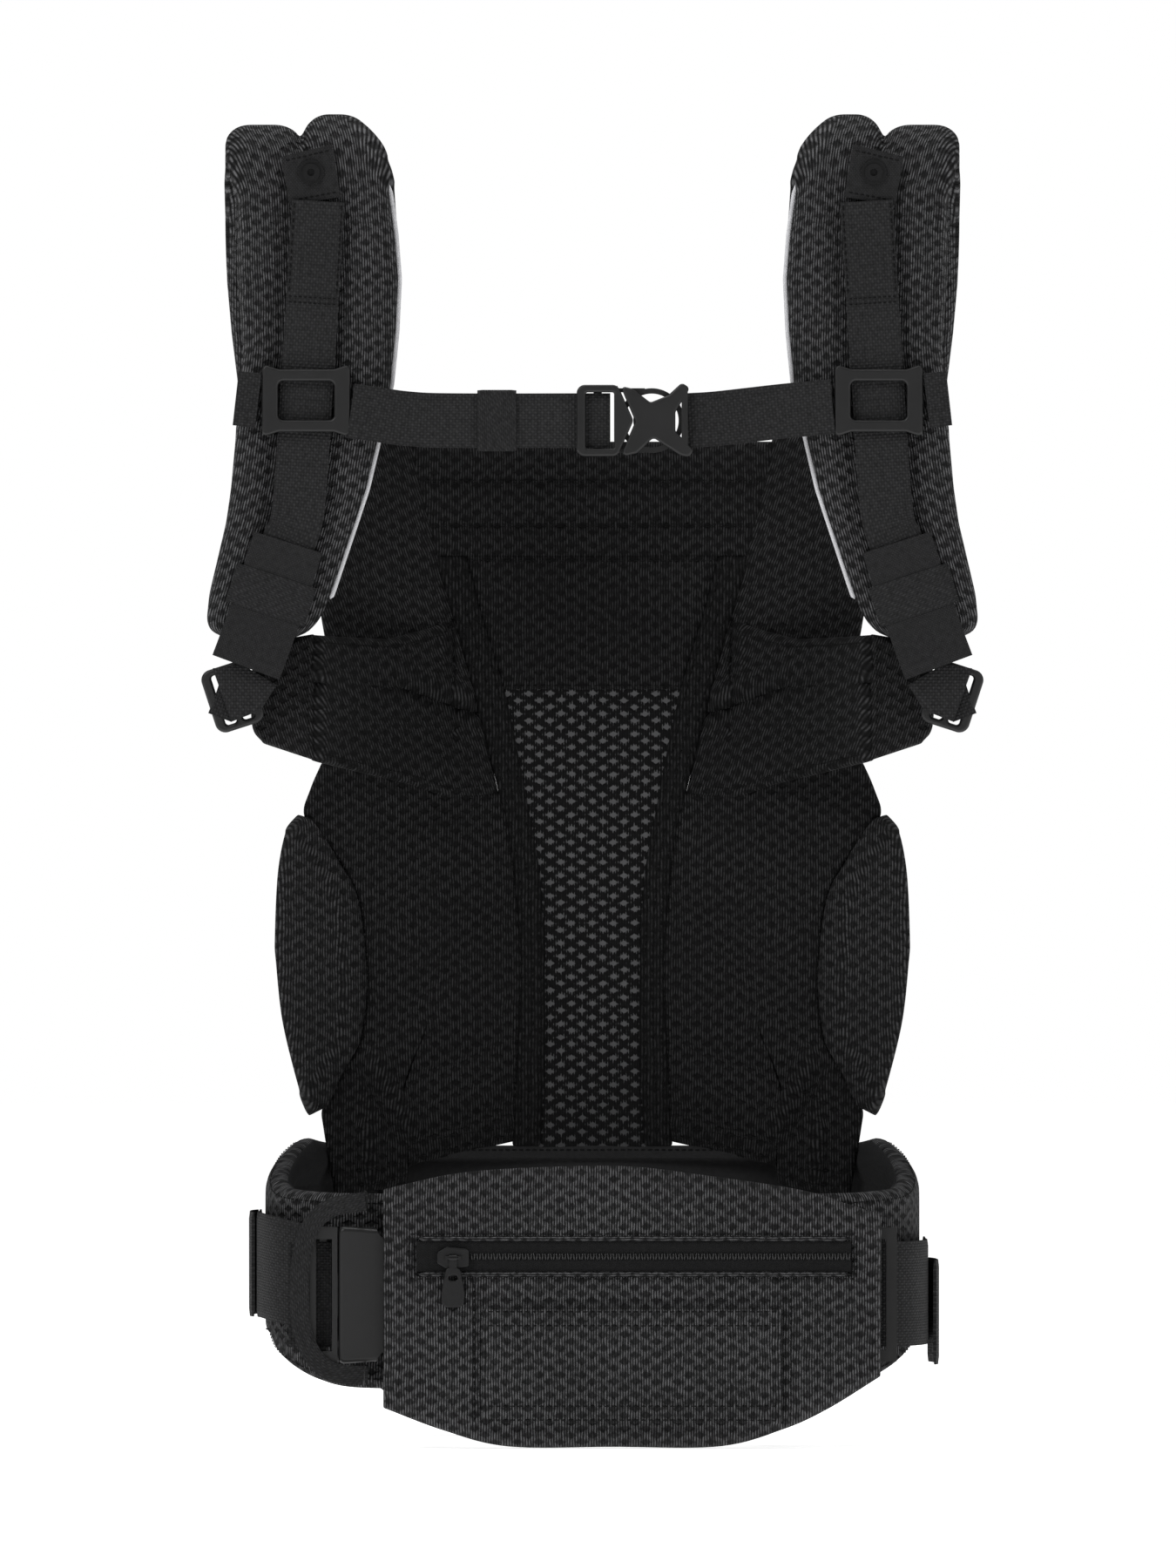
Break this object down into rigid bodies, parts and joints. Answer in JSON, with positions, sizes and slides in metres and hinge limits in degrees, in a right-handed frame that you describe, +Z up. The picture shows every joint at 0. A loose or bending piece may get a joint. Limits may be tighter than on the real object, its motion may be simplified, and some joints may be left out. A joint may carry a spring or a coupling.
{
  "type": "soft baby carrier",
  "caption": "Soft structured baby carrier: padded shoulder straps, chest strap, knit body panel with open mesh, and a waist belt with a zipped pouch.",
  "frame": {"origin": "centre of the carrier's footprint, at the level it stands on", "axes": "+Z up, -Y towards the chest strap and pouch, +X to the right seen from that side"},
  "size_m": [0.3728, 0.2, 0.6345],
  "materials": {
    "knit": "black three-dimensional air-mesh knit",
    "webbing": "black woven polyester webbing",
    "open_mesh": "black open mesh with grey dots",
    "piping": "light grey edge piping",
    "foam": "open-cell foam",
    "board": "stiffening sheet",
    "plastic": "satin black moulded plastic",
    "dark_metal": "black coated metal"
  },
  "bodies": {
    "carrier": {"belt_back": "knit", "belt_foam": "foam", "belt_wing_left": "knit", "belt_wing_right": "knit", "binding_strip": "webbing", "lower_strap_left": "webbing", "lower_strap_right": "webbing", "lumbar_board": "board", "mesh_window": "open_mesh", "pouch": "knit", "rail_left": "knit", "rail_right": "knit", "safety_loop": "webbing", "shoulder_webbing_left": "webbing", "shoulder_webbing_right": "webbing", "side_panel_left": "knit", "side_panel_right": "knit", "slip_pocket": "knit", "snap_socket_left": "dark_metal", "snap_socket_right": "dark_metal", "snap_tab_left": "webbing", "snap_tab_right": "webbing", "strap_cover_left": "knit", "strap_cover_right": "knit", "strap_foam_left": "foam", "strap_foam_right": "foam", "strap_piping_left": "piping", "strap_piping_right": "piping", "thigh_pad_left": "knit", "thigh_pad_right": "knit", "upper_panel": "knit", "waist_housing": "plastic", "waist_webbing_left": "webbing", "waist_webbing_right": "webbing", "webbing_keeper_left": "webbing", "webbing_keeper_right": "webbing", "wing_end_left": "knit", "wing_end_right": "knit", "wing_left": "knit", "wing_right": "knit", "yoke_left": "knit", "yoke_right": "knit", "zip_tape": "webbing"},
    "headrest": {"headrest": "knit"},
    "chest_strap": {"chest_slider_left": "plastic", "chest_slider_right": "plastic", "chest_webbing_left": "webbing", "chest_catch": "plastic"},
    "chest_keeper": {"chest_keeper": "webbing"},
    "chest_hook": {"chest_hook": "plastic", "chest_webbing_right": "webbing"},
    "ladder_lock_left": {"ladder_lock_left": "plastic"},
    "ladder_lock_right": {"ladder_lock_right": "plastic"},
    "waist_plug": {"waist_plug": "plastic", "plug_webbing": "webbing"},
    "prong_upper": {"prong_upper": "plastic"},
    "prong_lower": {"prong_lower": "plastic"},
    "waist_slider": {"waist_slider": "plastic"},
    "zip_slider": {"zip_slider": "dark_metal"},
    "zip_puller": {"zip_puller": "dark_metal"}
  },
  "joints": [
    {"name": "headrest_fold", "type": "hinge", "parent": "carrier", "child": "headrest", "pos_m": [0, 0.0886, 0.4242], "axis": [-1, 0, 0], "range_deg": [0, 160]},
    {"name": "chest_height", "type": "slide", "parent": "carrier", "child": "chest_strap", "axis": [0, 0, 1], "range_m": [-0.036, 0.036]},
    {"name": "chest_keeper_slide", "type": "slide", "parent": "chest_strap", "child": "chest_keeper", "axis": [1, 0, 0], "range_m": [-0.014, 0.026]},
    {"name": "chest_release", "type": "hinge", "parent": "chest_strap", "child": "chest_hook", "pos_m": [0.1128, -0.0656, 0.4935], "axis": [0, 0, 1], "range_deg": [0, 100]},
    {"name": "ladder_lock_left_tilt", "type": "hinge", "parent": "carrier", "child": "ladder_lock_left", "pos_m": [-0.161, -0.04975, 0.3604], "axis": [-0.309, 0, 0.9511], "range_deg": [-20, 15]},
    {"name": "ladder_lock_right_tilt", "type": "hinge", "parent": "carrier", "child": "ladder_lock_right", "pos_m": [0.161, -0.04975, 0.3604], "axis": [-0.309, 0, -0.9511], "range_deg": [-20, 15]},
    {"name": "waist_release", "type": "slide", "parent": "carrier", "child": "waist_plug", "axis": [-1, 0, 0], "range_m": [0, 0.04]},
    {"name": "prong_upper_press", "type": "hinge", "parent": "waist_plug", "child": "prong_upper", "pos_m": [-0.1208, -0.06475, 0.0915], "axis": [0, 1, 0], "range_deg": [0, 5], "stiffness_Nm_per_rad": 0.3},
    {"name": "prong_lower_press", "type": "hinge", "parent": "waist_plug", "child": "prong_lower", "pos_m": [-0.1208, -0.06475, 0.0529], "axis": [0, -1, 0], "range_deg": [0, 5], "stiffness_Nm_per_rad": 0.3},
    {"name": "waist_slider_slide", "type": "slide", "parent": "carrier", "child": "waist_slider", "axis": [-1, 0, 0], "range_m": [0, 0.03]},
    {"name": "zip_travel", "type": "slide", "parent": "carrier", "child": "zip_slider", "axis": [1, 0, 0], "range_m": [0, 0.17]},
    {"name": "zip_puller_swing", "type": "hinge", "parent": "zip_slider", "child": "zip_puller", "pos_m": [-0.0662, -0.0984, 0.0907], "axis": [-1, 0, 0], "range_deg": [0, 150]}
  ]
}
